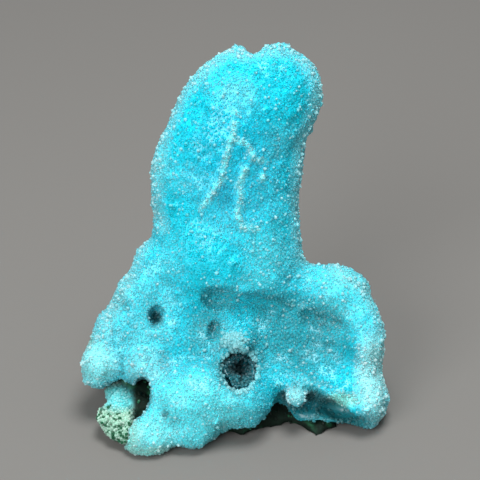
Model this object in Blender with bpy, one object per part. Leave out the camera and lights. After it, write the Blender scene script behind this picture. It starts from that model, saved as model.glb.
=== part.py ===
"""Chrysocolla with malachite, standing as it was photographed.

A blue mass with a skin of fine quartz: a column that leans back a little, on a lumpy base with hollows.
It has grown over a dark green malachite rock, which it stands on.

Places are given as the eye sees the stone, in millimetres from the middle of the view: across to the
right, up, and out towards the eye, which looks down at it by EYE_ELEVATION from EYE_DISTANCE away.
The malachite rock is given from the ground instead: to the right, back, and above the ground.
The finished stone is +Z up with its front to -Y, and the middle of its underside is the origin.
"""

import math
import random

import bmesh
import bpy
from mathutils import Matrix, Vector, noise
from mathutils.bvhtree import BVHTree

MM = 0.001
EYE_ELEVATION = math.radians(30)
EYE_DISTANCE = 450.0
EYE_AXES = Matrix((
    (1, 0, 0),
    (0, math.sin(EYE_ELEVATION), -math.cos(EYE_ELEVATION)),
    (0, math.cos(EYE_ELEVATION), math.sin(EYE_ELEVATION)),
))

# Height of the ground, up the room's own vertical, from the middle of the view
GROUND = -27.8
# Height, from the middle of the view, over which the column's skin is calmer than the base's
COLUMN_FOOT = -2.0
# How far the blue mass's lowest lump stays above the ground
FOOT_CLEARANCE = 0.2
# Gap between pieces that touch
GAP = 0.3
# Faces that the blue mass and the rock keep once their forms are settled
BLUE_FACES = 3500
ROCK_FACES = 1100
# How finely lumps are melted into one skin, in millimetres, and how many times that skin is softened
FIRST_MELT = (0.8, 6)
SOFT_MELT = (0.8, 10)
FINE_MELT = (0.5, 4)
ROCK_MELT = (0.7, 6)
# Waves that make the skins uneven: the width and height of each
BLUE_WAVES = ((5.5, 0.6), (2.5, 0.38))
ROCK_WAVES = ((9.0, 3.4), (3.2, 1.1))
HOLLOW_WAVES = ((2.5, 0.8),)
# Faces that meet more sharply than this keep their edge
SHARP_FROM = math.radians(40)
# A block this large takes away all that is on one side of a plane
CUTTER_SIZE = 200.0

# The column: height, middle across, half width, middle out, half depth
COLUMN = (
    (-16.0, -1.0, 12.0, -5.5, 7.5),
    (-12.5, -2.0, 14.4, -3.6, 10.0),
    (-9.5, -2.4, 15.0, -2.2, 10.7),
    (-5.0, -2.9, 14.8, -0.6, 10.6),
    (0.0, -2.5, 13.9, 0.9, 9.8),
    (3.5, -2.3, 13.3, 1.7, 9.4),
    (8.0, -2.8, 13.9, 2.7, 9.5),
    (14.0, -2.4, 13.9, 4.1, 9.6),
    (18.0, -1.4, 13.7, 5.0, 9.6),
    (22.0, 0.6, 13.7, 5.9, 9.4),
    (25.5, 2.0, 13.5, 6.7, 9.0),
    (29.0, 2.8, 12.3, 7.4, 8.2),
    (32.0, 3.4, 10.2, 8.0, 6.6),
    (34.2, 3.8, 7.3, 8.3, 4.6),
    (35.4, 4.0, 4.3, 8.4, 2.4),
)

# Lumps of the blue mass: place (across, up, out), half sizes the same way, and roll in degrees
BLUE_LUMPS = {
    "heart": ((-1.0, -19.5, -8.0), (21.0, 13.0, 13.5), 0),
    "right mass": ((14.0, -18.5, -7.0), (11.0, 11.0, 12.0), 0),
    "left mass": ((-14.0, -17.5, -4.5), (11.0, 10.5, 12.0), 0),
    "high back": ((-3.0, -9.5, -10.0), (14.0, 7.5, 8.0), 15),
    "high back right": ((10.5, -12.5, -9.5), (9.0, 6.5, 7.0), -20),
    "high back left": ((-14.0, -13.0, -9.0), (7.0, 6.0, 7.5), 0),
    "upper right lobe": ((17.0, -10.5, -1.5), (7.3, 6.6, 7.5), -14),
    "right flank": ((21.6, -18.0, 0.0), (5.0, 9.2, 7.5), 0),
    "right lower rim": ((23.1, -28.8, 2.0), (4.1, 5.8, 7.0), 0),
    "right lip": ((13.0, -25.6, 0.5), (11.5, 4.4, 7.6), -8),
    "left upper shoulder": ((-15.6, -4.4, -1.0), (4.2, 4.4, 7.5), 0),
    "left shoulder": ((-17.9, -11.0, -1.0), (5.4, 5.8, 8.5), 0),
    "left slope": ((-21.2, -16.6, 0.0), (5.3, 5.7, 7.5), 0),
    "outer left bump": ((-25.3, -22.6, 2.5), (4.2, 4.7, 5.5), 0),
    "inner left bump": ((-17.4, -23.2, 5.0), (4.7, 3.9, 6.0), 0),
    "bulge": ((-8.1, -28.6, 5.0), (11.0, 7.2, 9.8), 5),
    "bulge foot": ((-16.8, -35.6, 8.5), (5.0, 4.4, 6.0), 0),
    "bulge left knob": ((-16.6, -32.4, 6.5), (4.1, 3.8, 6.0), 0),
    "bulge lower lobe": ((-8.5, -34.2, 7.5), (4.6, 4.0, 5.5), 0),
    "bulge right knob": ((0.8, -28.6, 5.5), (5.4, 5.4, 8.0), 0),
}

# Broad hollows pressed softly into the blue mass, given as the lumps are
BROAD_DENTS = {
    "bowl": ((12.6, -18.0, 13.2), (9.8, 7.6, 11.8), -20),
    "crease under the column": ((5.5, -12.4, 9.5), (9.0, 1.9, 5.0), 0),
    "spot under the column": ((-4.0, -12.0, 10.5), (3.6, 2.4, 5.0), 0),
}

# Narrow hollows with crisper edges
NARROW_DENTS = {
    "under the column's foot": ((4.4, -13.6, 9.2), (7.6, 4.3, 6.2), -4),
    "dark spot": ((-4.2, -11.2, 9.8), (3.4, 2.7, 6.0), 0),
    "under the right lobe": ((13.6, -14.9, 5.6), (5.6, 2.4, 4.6), -14),
    "bowl's right corner": ((16.2, -21.4, 8.6), (5.4, 5.0, 5.0), -12),
    "small hole": ((-15.2, -14.1, 7.0), (1.2, 2.1, 6.0), -15),
    "slit": ((-4.7, -16.4, 9.0), (1.2, 2.6, 7.6), -14),
    "pit in the bulge": ((-14.3, -31.0, 13.4), (0.9, 0.7, 2.4), 20),
    "lower left cavity": ((-18.0, -28.2, 9.0), (1.7, 3.2, 9.0), -15),
    "undercut by the tooth": ((10.8, -29.4, 10.5), (5.0, 2.5, 9.0), -5),
    "undercut under the ledge": ((17.6, -31.0, 10.5), (7.0, 1.9, 9.0), -13),
    "notch at the top": ((2.5, 36.0, 8.6), (1.6, 3.0, 7.5), 0),
}

# Small forms that stand in or over the hollows, so they join once those are cut
BLUE_DETAILS = {
    "clump over the hollow": ((0.4, -17.8, 5.2), (2.6, 2.8, 3.4), 0),
    "hanging tooth": ((10.1, -27.9, 7.4), (2.2, 2.7, 2.4), 0),
    "broken ledge": ((17.6, -28.6, 5.6), (3.8, 0.9, 3.4), -32),
    "ledge end": ((21.6, -31.0, 6.6), (2.6, 1.0, 2.4), -20),
    "top knob": ((7.4, 34.6, 8.4), (1.9, 1.4, 1.8), 0),
}

# The deep hollow in the middle: place, half sizes, and the thickness of the crust that lines it
HOLLOW_PLACE = (-0.1, -23.5, 9.0)
HOLLOW_SIZES = (3.2, 3.6, 8.5)
CRUST_WALL = 0.6
# The crust's mouth: how far out its middle is, and how far it is turned to face up with the skin around it
CRUST_MOUTH = 6.2
MOUTH_TURN = math.radians(-30)
# Rows of crystals inside the crust: how far out each is, how many stand around it, and their sizes
CRUST_ROWS = (2.8, 4.8)
CRUST_AROUND = 7
CRUST_CRYSTAL_RADIUS = 0.42
CRUST_CRYSTAL_LENGTH = 1.0
# The round lumps on the floor of the hollow, given as the blue lumps are
CRUST_LUMPS = {
    "left": ((-1.1, -24.3, 2.8), (1.3, 1.2, 1.2)),
    "right": ((1.7, -24.2, 3.6), (1.1, 1.1, 1.1)),
}

# Given from the ground (right, back, above), with half sizes the same way: the blue mass's low shelf
BLUE_SHELVES = {
    "right floor": ((16.0, -15.0, 2.2), (10.0, 6.6, 1.9)),
}

# Lumps of the malachite rock, given from the ground too
ROCK_LUMPS = {
    "bed": ((1.0, -5.5, 1.0), (18.0, 12.0, 5.5)),
    "back rise": ((-3.0, 3.0, 6.0), (16.0, 9.0, 11.5)),
    "right back": ((11.0, 1.5, 5.0), (9.0, 8.5, 9.5)),
    "left back": ((-14.0, 0.5, 4.5), (9.5, 9.0, 8.5)),
    "right toe": ((14.2, -16.5, 0.0), (4.2, 6.4, 1.5)),
    "middle toe": ((6.5, -15.0, 0.0), (6.0, 5.0, 2.4)),
    "front ledge": ((-2.0, -17.5, 0.6), (8.0, 5.0, 3.4)),
    "left bed": ((-16.8, -13.0, 4.3), (7.2, 8.5, 4.3)),
    "outcrop": ((-22.2, -20.6, 3.2), (3.4, 4.0, 3.1)),
    "outcrop front": ((-21.0, -23.4, 3.8), (2.9, 3.5, 3.0)),
    "outcrop toe": ((-19.8, -26.2, 3.0), (2.0, 2.2, 2.0)),
}

# Lines of crystals, (across, up): the seams on the column's face, then edges of the base
SEAMS = {
    "left seam": (
        (-0.9, 21.0), (-1.3, 18.7), (-2.0, 17.1), (-2.2, 15.1),
        (-2.9, 13.3), (-3.2, 11.0), (-4.3, 9.4), (-7.0, 5.6),
    ),
    "its branch": ((-1.1, 18.0), (0.9, 17.6), (2.0, 16.0), (2.4, 14.6), (4.0, 14.2)),
    "right seam": ((1.1, 12.8), (-0.2, 9.7), (0.2, 7.9), (-0.4, 4.7), (0.5, 2.2), (3.1, 2.0)),
    "top knob": ((5.6, 34.6), (7.4, 35.3), (9.0, 34.8)),
    "lip over the undercut": (
        (6.5, -26.2), (9.0, -25.9), (13.0, -26.2), (16.0, -27.4), (20.0, -30.0), (24.0, -31.0),
    ),
    "left bumps": ((-28.0, -25.6), (-24.4, -26.6), (-20.6, -26.2)),
}
LONE_CRYSTALS = ((-0.7, 23.0), (4.1, 11.3), (21.9, -6.9))
SEAM_STEP = 1.6
# The larger crystals: half width, length, and how much smaller or larger one can be
CRYSTAL_RADIUS = 0.5
CRYSTAL_LENGTH = 1.0
CRYSTAL_VARIETY = (0.8, 1.3)
# Where a crystal's root and its pyramid's foot are, as shares of its length
ROOT_SHARE = -0.4
SHOULDER_SHARE = 0.45
# Crystals that stand around the deep hollow, and how far from its edge
RIM_CRYSTALS = 14
RIM_MARGIN = 0.75
# How far apart the scattered crystals stand, how many there are, and how high above the ground they start
SCATTER_STEP = 6.0
SCATTERED = 55
SCATTER_ABOVE = 4.0
# No crystal stands nearer the rock than this
CLEAR_OF_ROCK = 2.0
CHANCE_SEEDS = {"blue crystals": 7, "crust crystals": 11}


def spot(across, up, out):
    """The point seen at across and up, out millimetres nearer the eye than the middle of the view."""
    nearer = 1 - out / EYE_DISTANCE
    return EYE_AXES @ Vector((across * nearer, up * nearer, out)) * MM


def ground_spot(right, back, above):
    return Vector((right, back, above + GROUND)) * MM


def clear_scene():
    for thing in list(bpy.data.objects):
        bpy.data.objects.remove(thing, do_unlink=True)


def finish(name, colour, roughness):
    material = bpy.data.materials.new(name)
    material.use_nodes = True
    shader = material.node_tree.nodes["Principled BSDF"]
    shader.inputs["Base Color"].default_value = (*colour, 1)
    shader.inputs["Roughness"].default_value = roughness
    material.diffuse_color = (*colour, 1)
    return material


def coat(thing, material):
    """Gives the whole object one material, and soft shading but for its sharp edges."""
    mesh = thing.data
    mesh.materials.clear()
    mesh.materials.append(material)
    for face in mesh.polygons:
        face.material_index = 0
    mesh.shade_smooth()
    mesh.set_sharp_from_angle(angle=SHARP_FROM)


def add_object(name, bm):
    """Makes an object of the closed skins in bm."""
    bmesh.ops.recalc_face_normals(bm, faces=bm.faces)
    mesh = bpy.data.meshes.new(name)
    bm.to_mesh(mesh)
    bm.free()
    thing = bpy.data.objects.new(name, mesh)
    bpy.context.collection.objects.link(thing)
    return thing


def settle(thing):
    """Makes what the modifiers do part of the object's own mesh."""
    evaluated = thing.evaluated_get(bpy.context.evaluated_depsgraph_get())
    mesh = bpy.data.meshes.new_from_object(evaluated)
    thing.modifiers.clear()
    thing.data = mesh


def ellipsoid(bm, centre, half_sizes, axes=None, detail=3):
    turn = (axes or Matrix.Identity(3)).to_4x4()
    stretch = Matrix.Diagonal((*(size * MM for size in half_sizes), 1))
    matrix = Matrix.Translation(centre) @ turn @ stretch
    bmesh.ops.create_icosphere(bm, subdivisions=detail, radius=1, matrix=matrix)


def seen_ellipsoid(bm, place, half_sizes, roll=0, detail=3):
    axes = EYE_AXES @ Matrix.Rotation(math.radians(roll), 3, "Z")
    ellipsoid(bm, spot(*place), half_sizes, axes, detail)


def lump(name, place, half_sizes, roll=0):
    """An ellipsoid as an object of its own, given as the eye sees it."""
    bm = bmesh.new()
    seen_ellipsoid(bm, place, half_sizes, roll)
    return add_object(name, bm)


def loft(bm, stations, sides=40):
    """A closed skin over elliptical rings, one for each station."""
    rings = []
    for up, across, half_width, out, half_depth in stations:
        ring = []
        for step in range(sides):
            angle = 2 * math.pi * step / sides
            seen_across = across + half_width * math.cos(angle)
            ring.append(bm.verts.new(spot(seen_across, up, out - half_depth * math.sin(angle))))
        rings.append(ring)
    for lower, upper in zip(rings, rings[1:]):
        for step in range(sides):
            after = (step + 1) % sides
            bm.faces.new((lower[after], lower[step], upper[step], upper[after]))
    bm.faces.new(rings[0])
    bm.faces.new(reversed(rings[-1]))


def one_skin(thing, voxel, rounds):
    """Melts overlapping skins into one, with soft joins."""
    remesh = thing.modifiers.new("one skin", "REMESH")
    remesh.mode = "VOXEL"
    remesh.voxel_size = voxel * MM
    smooth = thing.modifiers.new("soft joins", "SMOOTH")
    smooth.iterations = rounds
    smooth.factor = 0.5
    settle(thing)


def push_out(thing, amount):
    """Moves each point of the skin straight out by amount(place) millimetres."""
    vertices = thing.data.vertices
    moved = [vertex.co + vertex.normal * amount(vertex.co) * MM for vertex in vertices]
    for vertex, place in zip(vertices, moved):
        vertex.co = place


def ripple(thing, waves, calm_above=1000.0):
    """Moves the skin in and out by noise: waves holds each one's width and height, halved up high."""
    def amount(place):
        strength = 0.5 if place.z > calm_above * MM else 1.0
        return strength * sum(height * noise.noise(place / (width * MM)) for width, height in waves)
    push_out(thing, amount)


def thin_out(thing, faces):
    thing.data.calc_loop_triangles()
    decimate = thing.modifiers.new("fewer faces", "DECIMATE")
    decimate.ratio = faces / len(thing.data.loop_triangles)
    decimate.use_collapse_triangulate = True
    settle(thing)


def combine(thing, other, operation, overlapping=False):
    """Adds another solid to this one, or cuts it away, and removes the other."""
    boolean = thing.modifiers.new(operation.lower(), "BOOLEAN")
    boolean.operation = operation
    boolean.solver = "EXACT"
    boolean.use_self = overlapping
    boolean.object = other
    settle(thing)
    bpy.data.objects.remove(other, do_unlink=True)


def drop_crumbs(thing):
    """Keeps the main body and removes any bit that a cut has left loose."""
    bm = bmesh.new()
    bm.from_mesh(thing.data)
    unseen = set(bm.verts)
    bodies = []
    while unseen:
        body = set()
        edge_of_search = [unseen.pop()]
        while edge_of_search:
            vertex = edge_of_search.pop()
            body.add(vertex)
            for edge in vertex.link_edges:
                other = edge.other_vert(vertex)
                if other in unseen:
                    unseen.discard(other)
                    edge_of_search.append(other)
        bodies.append(body)
    main = max(bodies, key=len)
    bmesh.ops.delete(bm, geom=[vertex for vertex in bm.verts if vertex not in main], context="VERTS")
    bm.to_mesh(thing.data)
    bm.free()


def ground_block(top):
    """Everything lower than top millimetres above the ground."""
    bm = bmesh.new()
    centre = ground_spot(0, 0, top - CUTTER_SIZE / 2)
    bmesh.ops.create_cube(bm, size=CUTTER_SIZE * MM, matrix=Matrix.Translation(centre))
    return add_object("ground block", bm)


def malachite_matrix():
    bm = bmesh.new()
    for place, half_sizes in ROCK_LUMPS.values():
        ellipsoid(bm, ground_spot(*place), half_sizes)
    rock = add_object("malachite_matrix", bm)
    one_skin(rock, *ROCK_MELT)
    ripple(rock, ROCK_WAVES)
    thin_out(rock, ROCK_FACES)
    combine(rock, ground_block(0), "DIFFERENCE")
    coat(rock, finish("malachite", (0.02, 0.09, 0.06), 0.55))
    return rock


def swollen_copy(thing, by):
    copy = thing.copy()
    copy.data = thing.data.copy()
    bpy.context.collection.objects.link(copy)
    push_out(copy, lambda place: by)
    return copy


def crystal(bm, root, direction, radius, length):
    """A six-sided quartz point: a short prism under a pyramid, sunk a little at its root."""
    turn = direction.to_track_quat("Z", "Y").to_matrix()
    rings = []
    for height in (ROOT_SHARE * length, SHOULDER_SHARE * length):
        ring = []
        for side in range(6):
            angle = math.pi * side / 3
            flat = Vector((radius * math.cos(angle), radius * math.sin(angle), height))
            ring.append(bm.verts.new(root + turn @ flat * MM))
        rings.append(ring)
    tip = bm.verts.new(root + turn @ Vector((0, 0, length)) * MM)
    lower, upper = rings
    bm.faces.new(reversed(lower))
    for side in range(6):
        after = (side + 1) % 6
        bm.faces.new((lower[side], lower[after], upper[after], upper[side]))
        bm.faces.new((upper[side], upper[after], tip))


def surface_of(thing):
    return BVHTree.FromObject(thing, bpy.context.evaluated_depsgraph_get())


def seen_point(surface, across, up):
    """Where the line of sight at across and up meets the surface, with the surface's direction there."""
    eye = spot(0, 0, EYE_DISTANCE)
    place, normal, face, distance = surface.ray_cast(eye, spot(across, up, 0) - eye)
    return place, normal


def along(points, step):
    """Points at even steps along a line of points."""
    left = 0.0
    for start, end in zip(points, points[1:]):
        start, end = Vector(start), Vector(end)
        length = (end - start).length
        while left <= length:
            yield start.lerp(end, left / length)
            left += step
        left -= length


def leaning(normal, chance, amount=0.35):
    """A direction near the surface's own, as crystals grow."""
    lean = Vector((chance.uniform(-amount, amount) for axis in range(3)))
    return (normal + lean).normalized()


def wanted_spots():
    """Where the eye sees the crystals of the seams and edges, and those around the deep hollow."""
    for seam in SEAMS.values():
        yield from along(seam, SEAM_STEP)
    yield from LONE_CRYSTALS
    for step in range(RIM_CRYSTALS):
        angle = 2 * math.pi * step / RIM_CRYSTALS
        yield (
            HOLLOW_PLACE[0] + (HOLLOW_SIZES[0] + RIM_MARGIN) * math.cos(angle),
            HOLLOW_PLACE[1] + (HOLLOW_SIZES[1] + RIM_MARGIN) * math.sin(angle),
        )


def crystal_places(mass, rock, chance):
    """Where the larger crystals stand: in their lines and rings, and scattered in between."""
    surface = surface_of(mass)
    rock_surface = surface_of(rock)
    places = []
    for across, up in wanted_spots():
        place, normal = seen_point(surface, across, up)
        if place:
            places.append((place, normal))
    faces = [face for face in mass.data.polygons if face.center.z > (GROUND + SCATTER_ABOVE) * MM]
    total = len(places) + SCATTERED
    while len(places) < total:
        face = chance.choice(faces)
        nearest = min((face.center - place).length for place, normal in places)
        if nearest > SCATTER_STEP * chance.uniform(0.4, 1) * MM:
            places.append((face.center.copy(), face.normal.copy()))
    return [place for place in places if not rock_surface.find_nearest(place[0], CLEAR_OF_ROCK * MM)[0]]


def blue_mass(rock):
    bm = bmesh.new()
    loft(bm, COLUMN)
    for place, half_sizes, roll in BLUE_LUMPS.values():
        seen_ellipsoid(bm, place, half_sizes, roll)
    for place, half_sizes in BLUE_SHELVES.values():
        ellipsoid(bm, ground_spot(*place), half_sizes)
    mass = add_object("chrysocolla", bm)
    one_skin(mass, *FIRST_MELT)
    for dent in BROAD_DENTS.values():
        combine(mass, lump("dent", *dent), "DIFFERENCE")
    one_skin(mass, *SOFT_MELT)
    for dent in NARROW_DENTS.values():
        combine(mass, lump("dent", *dent), "DIFFERENCE")
    for detail in BLUE_DETAILS.values():
        combine(mass, lump("detail", *detail), "UNION")
    one_skin(mass, *FINE_MELT)
    ripple(mass, BLUE_WAVES, calm_above=COLUMN_FOOT)
    thin_out(mass, BLUE_FACES)
    combine(mass, swollen_copy(rock, GAP), "DIFFERENCE")
    combine(mass, ground_block(FOOT_CLEARANCE), "DIFFERENCE")
    chance = random.Random(CHANCE_SEEDS["blue crystals"])
    bm = bmesh.new()
    for place, normal in crystal_places(mass, rock, chance):
        size = chance.uniform(*CRYSTAL_VARIETY)
        crystal(bm, place, leaning(normal, chance), CRYSTAL_RADIUS * size, CRYSTAL_LENGTH * size)
    combine(mass, add_object("crystals", bm), "UNION", overlapping=True)
    combine(mass, hollow_form(0), "DIFFERENCE")
    drop_crumbs(mass)
    coat(mass, finish("chrysocolla", (0.05, 0.62, 0.70), 0.35))
    return mass


def hollow_form(inset, name="hollow"):
    """The deep hollow's uneven form, smaller by inset all over."""
    form = lump(name, HOLLOW_PLACE, [size - inset for size in HOLLOW_SIZES])
    ripple(form, HOLLOW_WAVES)
    return form


def block_in_front():
    """All that is in front of the crust's mouth."""
    bm = bmesh.new()
    axes = EYE_AXES @ Matrix.Rotation(MOUTH_TURN, 3, "X")
    middle = spot(*HOLLOW_PLACE[:2], CRUST_MOUTH)
    centre = middle + axes @ Vector((0, 0, CUTTER_SIZE / 2)) * MM
    bmesh.ops.create_cube(bm, size=CUTTER_SIZE * MM, matrix=Matrix.Translation(centre) @ axes.to_4x4())
    return add_object("in front", bm)


def crust_lining(crust):
    """The crystals and lumps inside the crust."""
    chance = random.Random(CHANCE_SEEDS["crust crystals"])
    walls = surface_of(crust)
    bm = bmesh.new()
    for row in CRUST_ROWS:
        middle = spot(*HOLLOW_PLACE[:2], row)
        for step in range(CRUST_AROUND):
            angle = 2 * math.pi * (step + chance.uniform(-0.2, 0.2)) / CRUST_AROUND
            outward = EYE_AXES @ Vector((math.cos(angle), math.sin(angle), -0.2))
            wall, normal, face, distance = walls.ray_cast(middle, outward)
            size = chance.uniform(0.7, 1.1)
            direction = leaning(-outward, chance, 0.2)
            crystal(bm, wall, direction, CRUST_CRYSTAL_RADIUS * size, CRUST_CRYSTAL_LENGTH * size)
    for place, half_sizes in CRUST_LUMPS.values():
        seen_ellipsoid(bm, place, half_sizes, detail=2)
    return add_object("lining", bm)


def hollow_crust():
    """A thin cup of crystals in the deep hollow, open to the front."""
    crust = hollow_form(GAP, "hollow_crust")
    combine(crust, hollow_form(GAP + CRUST_WALL), "DIFFERENCE")
    combine(crust, block_in_front(), "DIFFERENCE")
    lining = crust_lining(crust)
    # The lining reaches into the crust's wall, but not through it
    combine(lining, hollow_form(GAP + CRUST_WALL / 4), "INTERSECT", overlapping=True)
    combine(crust, lining, "UNION")
    drop_crumbs(crust)
    coat(crust, finish("quartz", (0.35, 0.62, 0.64), 0.2))
    return crust


def stand_up(things):
    """Moves the stone so that the middle of its box's underside is the origin."""
    places = [vertex.co for thing in things for vertex in thing.data.vertices]
    low = Vector(min(place[axis] for place in places) for axis in range(3))
    high = Vector(max(place[axis] for place in places) for axis in range(3))
    foot = Vector(((low.x + high.x) / 2, (low.y + high.y) / 2, low.z))
    for thing in things:
        thing.data.transform(Matrix.Translation(-foot))
    return -foot


clear_scene()
rock = malachite_matrix()
mass = blue_mass(rock)
crust = hollow_crust()
STOOD_UP_BY = stand_up((rock, mass, crust))
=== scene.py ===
import math

import bmesh
import bpy
import numpy as np
from mathutils import Matrix, Vector, noise
from mathutils.bvhtree import BVHTree
from mathutils.kdtree import KDTree


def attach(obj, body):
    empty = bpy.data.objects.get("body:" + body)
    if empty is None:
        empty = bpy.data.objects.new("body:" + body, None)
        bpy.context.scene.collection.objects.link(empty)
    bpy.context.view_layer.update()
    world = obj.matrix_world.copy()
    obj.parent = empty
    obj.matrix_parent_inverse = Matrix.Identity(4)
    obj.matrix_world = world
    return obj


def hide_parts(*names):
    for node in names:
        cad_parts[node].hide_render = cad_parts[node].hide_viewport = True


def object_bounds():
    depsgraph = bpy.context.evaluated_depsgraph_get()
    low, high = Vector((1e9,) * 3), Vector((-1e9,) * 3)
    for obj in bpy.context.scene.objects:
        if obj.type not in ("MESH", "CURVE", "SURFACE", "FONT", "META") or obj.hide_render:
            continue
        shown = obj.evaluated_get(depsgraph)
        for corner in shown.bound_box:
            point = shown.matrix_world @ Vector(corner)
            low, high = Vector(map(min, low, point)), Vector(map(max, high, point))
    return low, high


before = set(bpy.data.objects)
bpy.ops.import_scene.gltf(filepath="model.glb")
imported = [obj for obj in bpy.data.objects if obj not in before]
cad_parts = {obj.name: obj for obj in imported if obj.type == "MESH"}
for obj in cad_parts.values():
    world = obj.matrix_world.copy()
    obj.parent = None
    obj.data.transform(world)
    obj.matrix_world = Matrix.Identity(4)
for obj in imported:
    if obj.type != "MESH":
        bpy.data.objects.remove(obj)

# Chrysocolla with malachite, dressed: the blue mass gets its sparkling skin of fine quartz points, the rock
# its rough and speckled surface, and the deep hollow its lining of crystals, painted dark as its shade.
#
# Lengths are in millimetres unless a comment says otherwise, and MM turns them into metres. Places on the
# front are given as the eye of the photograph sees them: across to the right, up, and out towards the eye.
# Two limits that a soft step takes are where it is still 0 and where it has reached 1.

CAD_LOW, CAD_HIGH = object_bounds()

MM = 0.001

# The eye looks down by EYE_ELEVATION, from EYE_DISTANCE away, at AIM, and sees VIEW_WIDTH across there
EYE_ELEVATION = math.radians(30)
EYE_DISTANCE = 450.0
AIM = np.array((0.664, 6.824, 27.8))
VIEW_WIDTH = 86.4
SENSOR_WIDTH = 36.0
EYE_AXES = np.array((
    (1, 0, 0),
    (0, math.sin(EYE_ELEVATION), -math.cos(EYE_ELEVATION)),
    (0, math.cos(EYE_ELEVATION), math.sin(EYE_ELEVATION)),
))
# The camera shows nothing nearer or farther than this, in metres
CLIP_START = 0.01
CLIP_END = 20

# Colours, as the light reflects them
BLUE = (0.0, 0.64, 0.80)
DEEP_BLUE = (0.0, 0.57, 0.76)
PALE_BLUE = (0.12, 0.78, 0.84)
# Painted shade, for dents, creases, the bowl and round the deep hollow
SHADED_BLUE = (0.01, 0.30, 0.37)
# Painted shade, darker, for pits, slits and the inside of the deep hollow
SHADOW_BLUE = (0.005, 0.12, 0.15)
# Painted light rim, laid on the skin along the outer edges
EDGE_RIM_LIGHT = (0.26, 0.84, 0.88)
SEAM_BLUE = (0.20, 0.90, 0.95)
LUMP_BLUE = (0.03, 0.24, 0.29)
# The lighter end of the deep hollow's painted shade, at its mouth
MOUTH_BLUE = (0.06, 0.42, 0.48)
GREEN_CREAM = (0.36, 0.66, 0.52)
PALE_GREEN = (0.25, 0.72, 0.58)
MALACHITE = (0.015, 0.13, 0.06)
BLACK_GREEN = (0.003, 0.012, 0.007)
WHITE = (1.0, 1.0, 1.0)

# Patches of the blue mass that differ from BLUE: place (across, up), half sizes, colour and how much of it
BLUE_PATCHES = {
    "middle of the column": ((-1.0, 13.4), (10.0, 13.0), DEEP_BLUE, 0.85),
    "between the seams": ((-2.5, 8.1), (1.8, 2.8), (0.0, 0.36, 0.52), 0.6),
    "between the upper seams": ((0.5, 16.2), (1.4, 1.6), (0.0, 0.40, 0.56), 0.5),
    # Painted shade in the shallow dent under the column
    "spot under the column": ((-4.1, -10.3), (3.6, 3.0), SHADED_BLUE, 0.6),
    # Painted shade in the crease under the column's foot
    "crease": ((5.0, -10.8), (10.0, 2.2), SHADED_BLUE, 0.25),
    # Painted shade in the bowl
    "bowl": ((11.0, -17.6), (11.0, 8.4), SHADED_BLUE, 0.8),
    "bulge": ((-8.1, -31.5), (12.5, 9.5), PALE_BLUE, 0.7),
    "bulge foot": ((-16.5, -36.0), (5.5, 4.0), (0.20, 0.84, 0.88), 0.7),
    "bulge's lower edge": ((-14.0, -38.8), (9.0, 1.8), GREEN_CREAM, 0.5),
    "outer left bump": ((-26.0, -22.5), (4.5, 5.0), (0.24, 0.80, 0.84), 0.9),
    "inner left bump": ((-17.1, -23.0), (5.0, 3.8), (0.16, 0.60, 0.66), 0.7),
    "left slope": ((-19.0, -13.0), (9.0, 9.0), (0.06, 0.54, 0.63), 0.6),
    "left edge": ((-27.2, -17.8), (0.9, 1.5), MALACHITE, 0.9),
    "upper right lobe": ((19.8, -9.9), (7.0, 6.5), PALE_BLUE, 0.4),
    "right rim": ((24.0, -24.5), (3.4, 9.0), (0.34, 0.84, 0.87), 0.85),
    "broken ledge": ((18.2, -28.9), (3.6, 1.7), PALE_GREEN, 0.7),
    # Painted shade round the deep hollow
    "around the hollow": ((-0.4, -22.6), (5.2, 5.6), SHADED_BLUE, 0.75),
    # Painted shade in the dip left of the hollow
    "left of the hollow": ((-5.6, -17.6), (4.2, 5.2), SHADED_BLUE, 0.65),
    # Painted shade in the valley over the bulge
    "valley over the bulge": ((-11.0, -20.2), (4.6, 3.0), SHADED_BLUE, 0.35),
    # Painted shade in the small pit on the bulge
    "spot on the bulge": ((-13.5, -31.3), (0.9, 0.9), SHADOW_BLUE, 0.8),
    # Painted shade in the pit in the slope
    "pit in the slope": ((-15.1, -13.9), (1.0, 1.2), SHADOW_BLUE, 0.85),
    # Painted shade in the slit beside the clump
    "pit beside the clump": ((-4.8, -16.3), (0.6, 1.2), SHADOW_BLUE, 0.7),
    "tooth": ((9.8, -28.0), (2.4, 2.0), (0.30, 0.80, 0.84), 0.8),
    "foot by the outcrop": ((-20.5, -35.0), (3.0, 5.0), GREEN_CREAM, 0.5),
}
# Painted shade on the floors of the hollows under the overhangs: patches that reach only these floors, given
# the same way, and the places out where they begin
UNDERCUT_SHADE_PATCHES = {
    "undercut": ((12.5, -29.6), (7.0, 4.0), (0.008, 0.13, 0.16), 0.95),
    "undercut's right end": ((19.5, -32.0), (6.0, 2.4), (0.01, 0.16, 0.19), 0.95),
}
UNDERCUT_FROM = (7.4, 5.6)
CAVITY_SHADE_PATCHES = {
    "cavity at the left": ((-18.2, -28.6), (2.8, 4.0), (0.006, 0.10, 0.14), 0.95),
}
CAVITY_FROM = (11.6, 10.4)
# A patch fades out between these shares of its half sizes, and only the front has patches: places out there
PATCH_FADE = (1.25, 0.45)
FRONT_FROM = (-8, -2)

# Lines of white crystals on the column's face, (across, up)
SEAMS = {
    "left seam": (
        (-0.9, 21.0), (-1.3, 18.7), (-2.0, 17.1), (-2.2, 15.1),
        (-2.9, 13.3), (-3.2, 11.0), (-4.3, 9.4), (-7.0, 5.6),
    ),
    "seam's branch": ((-1.1, 18.0), (0.9, 17.6), (2.0, 16.0), (2.4, 14.6), (4.0, 14.2)),
    "right seam": ((1.1, 12.8), (-0.2, 9.7), (0.2, 7.9), (-0.4, 4.7), (0.5, 2.2), (3.1, 2.0)),
    "spot over the seams": ((-0.9, 23.2), (-0.5, 22.8)),
    "spot beside the seams": ((4.1, 11.6), (4.1, 11.0)),
}
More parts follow.
